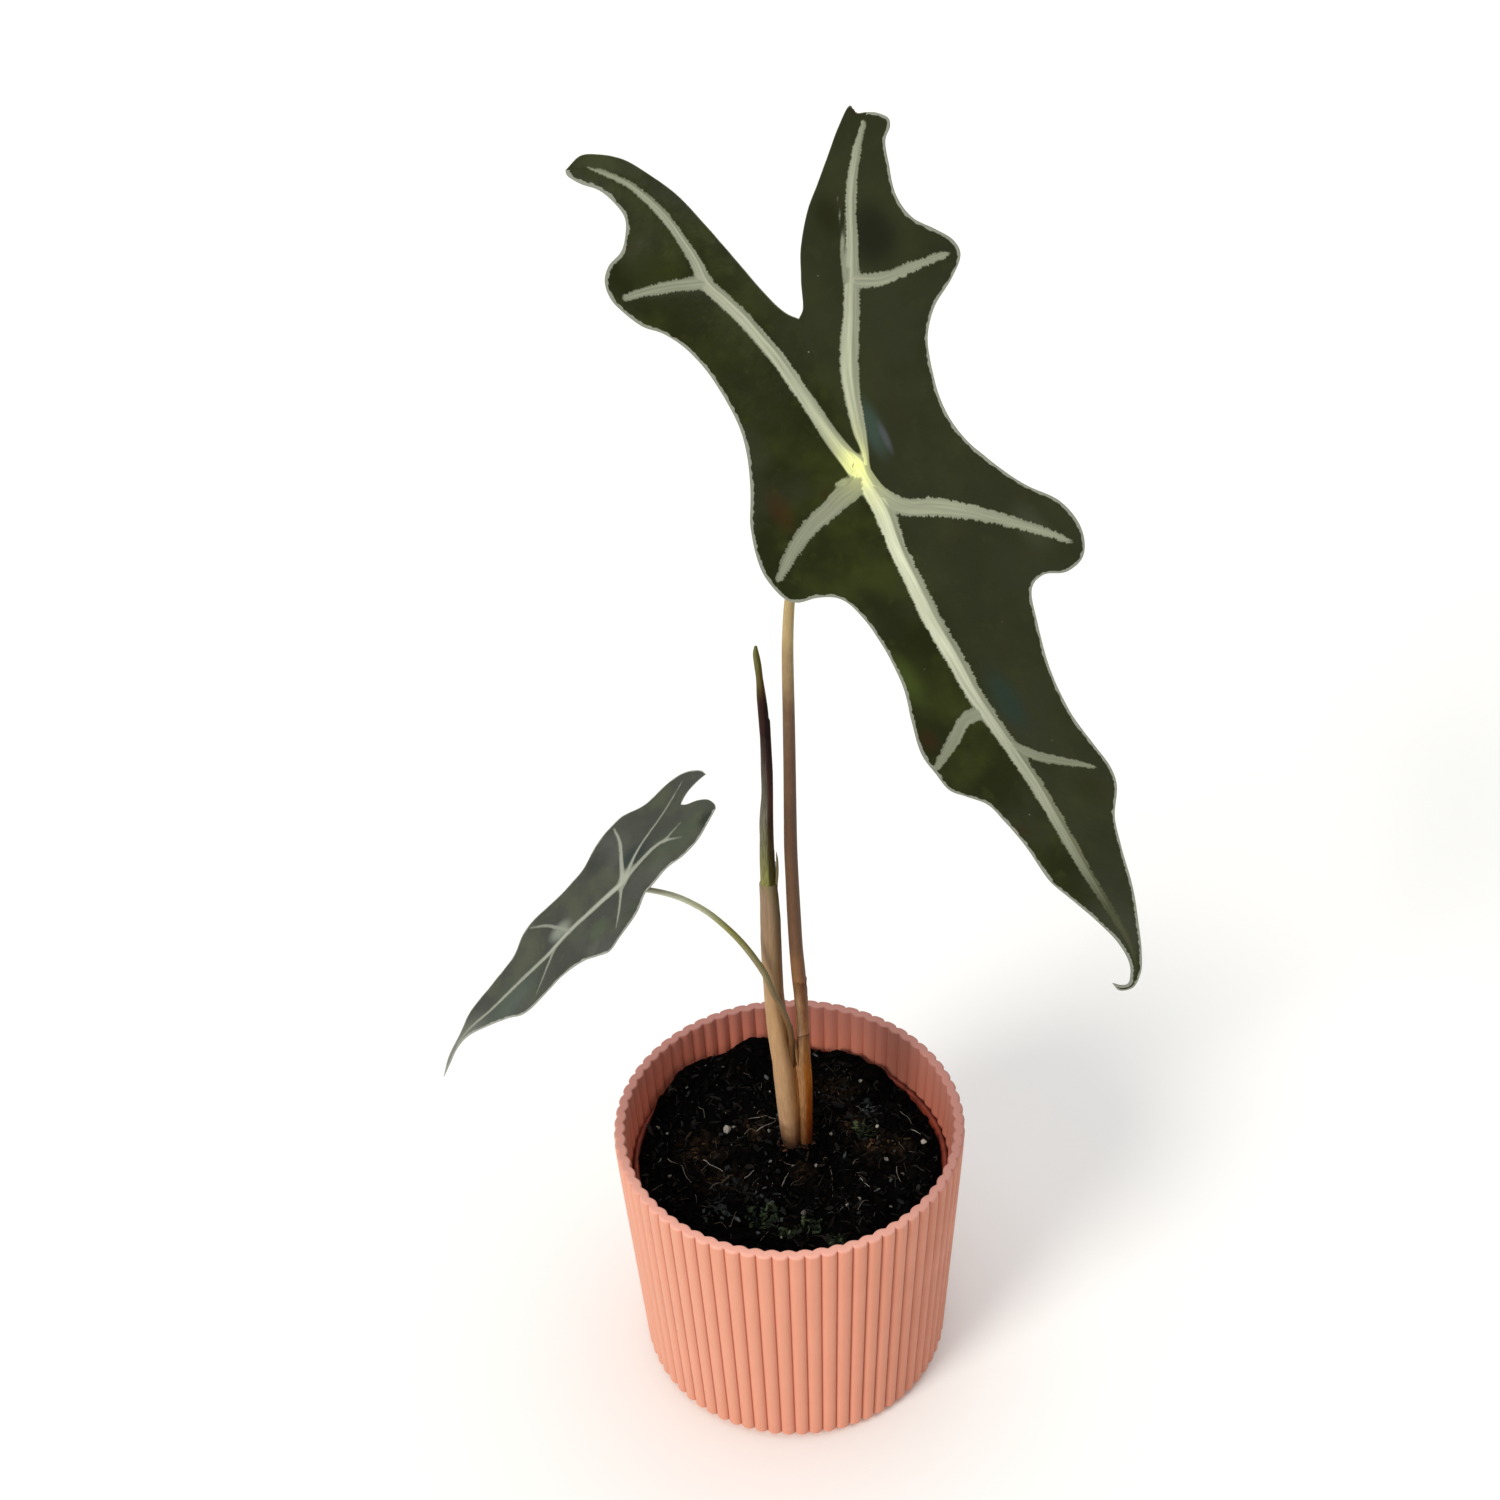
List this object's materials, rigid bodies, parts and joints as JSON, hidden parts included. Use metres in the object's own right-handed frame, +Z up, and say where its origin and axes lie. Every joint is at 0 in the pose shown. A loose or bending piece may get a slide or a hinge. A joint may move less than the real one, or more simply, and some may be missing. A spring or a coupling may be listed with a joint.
{
  "type": "potted alocasia",
  "caption": "Young alocasia with an arrow-shaped dark leaf and a small leaf on thin stems, in a grower's pot inside a ribbed cover pot.",
  "frame": {"origin": "centre of the cover pot's flat underside, on the surface that the pot stands on", "axes": "+Z up along the pot's axis; -Y the side that the leaves face; +X to the right as seen from that side"},
  "size_m": [0.2424, 0.138, 0.5193],
  "materials": {
    "cover_pot_plastic": "satin",
    "nursery_pot_plastic": "satin",
    "soil": "matte",
    "pale_sheath": "satin",
    "spear_skin": "satin",
    "large_petiole_skin": "satin",
    "small_petiole_skin": "satin",
    "dry_papery_sheath": "matte",
    "large_leaf_blade": "satin",
    "small_leaf_blade": "satin"
  },
  "bodies": {
    "root": {"cover_pot": "cover_pot_plastic", "nursery_pot": "nursery_pot_plastic", "soil": "soil", "stem_sheath": "pale_sheath", "leaf_spear": "spear_skin", "large_leaf_petiole": "large_petiole_skin", "small_leaf_petiole": "small_petiole_skin", "dry_sheath": "dry_papery_sheath", "large_leaf": "large_leaf_blade", "small_leaf": "small_leaf_blade"}
  },
  "joints": []
}
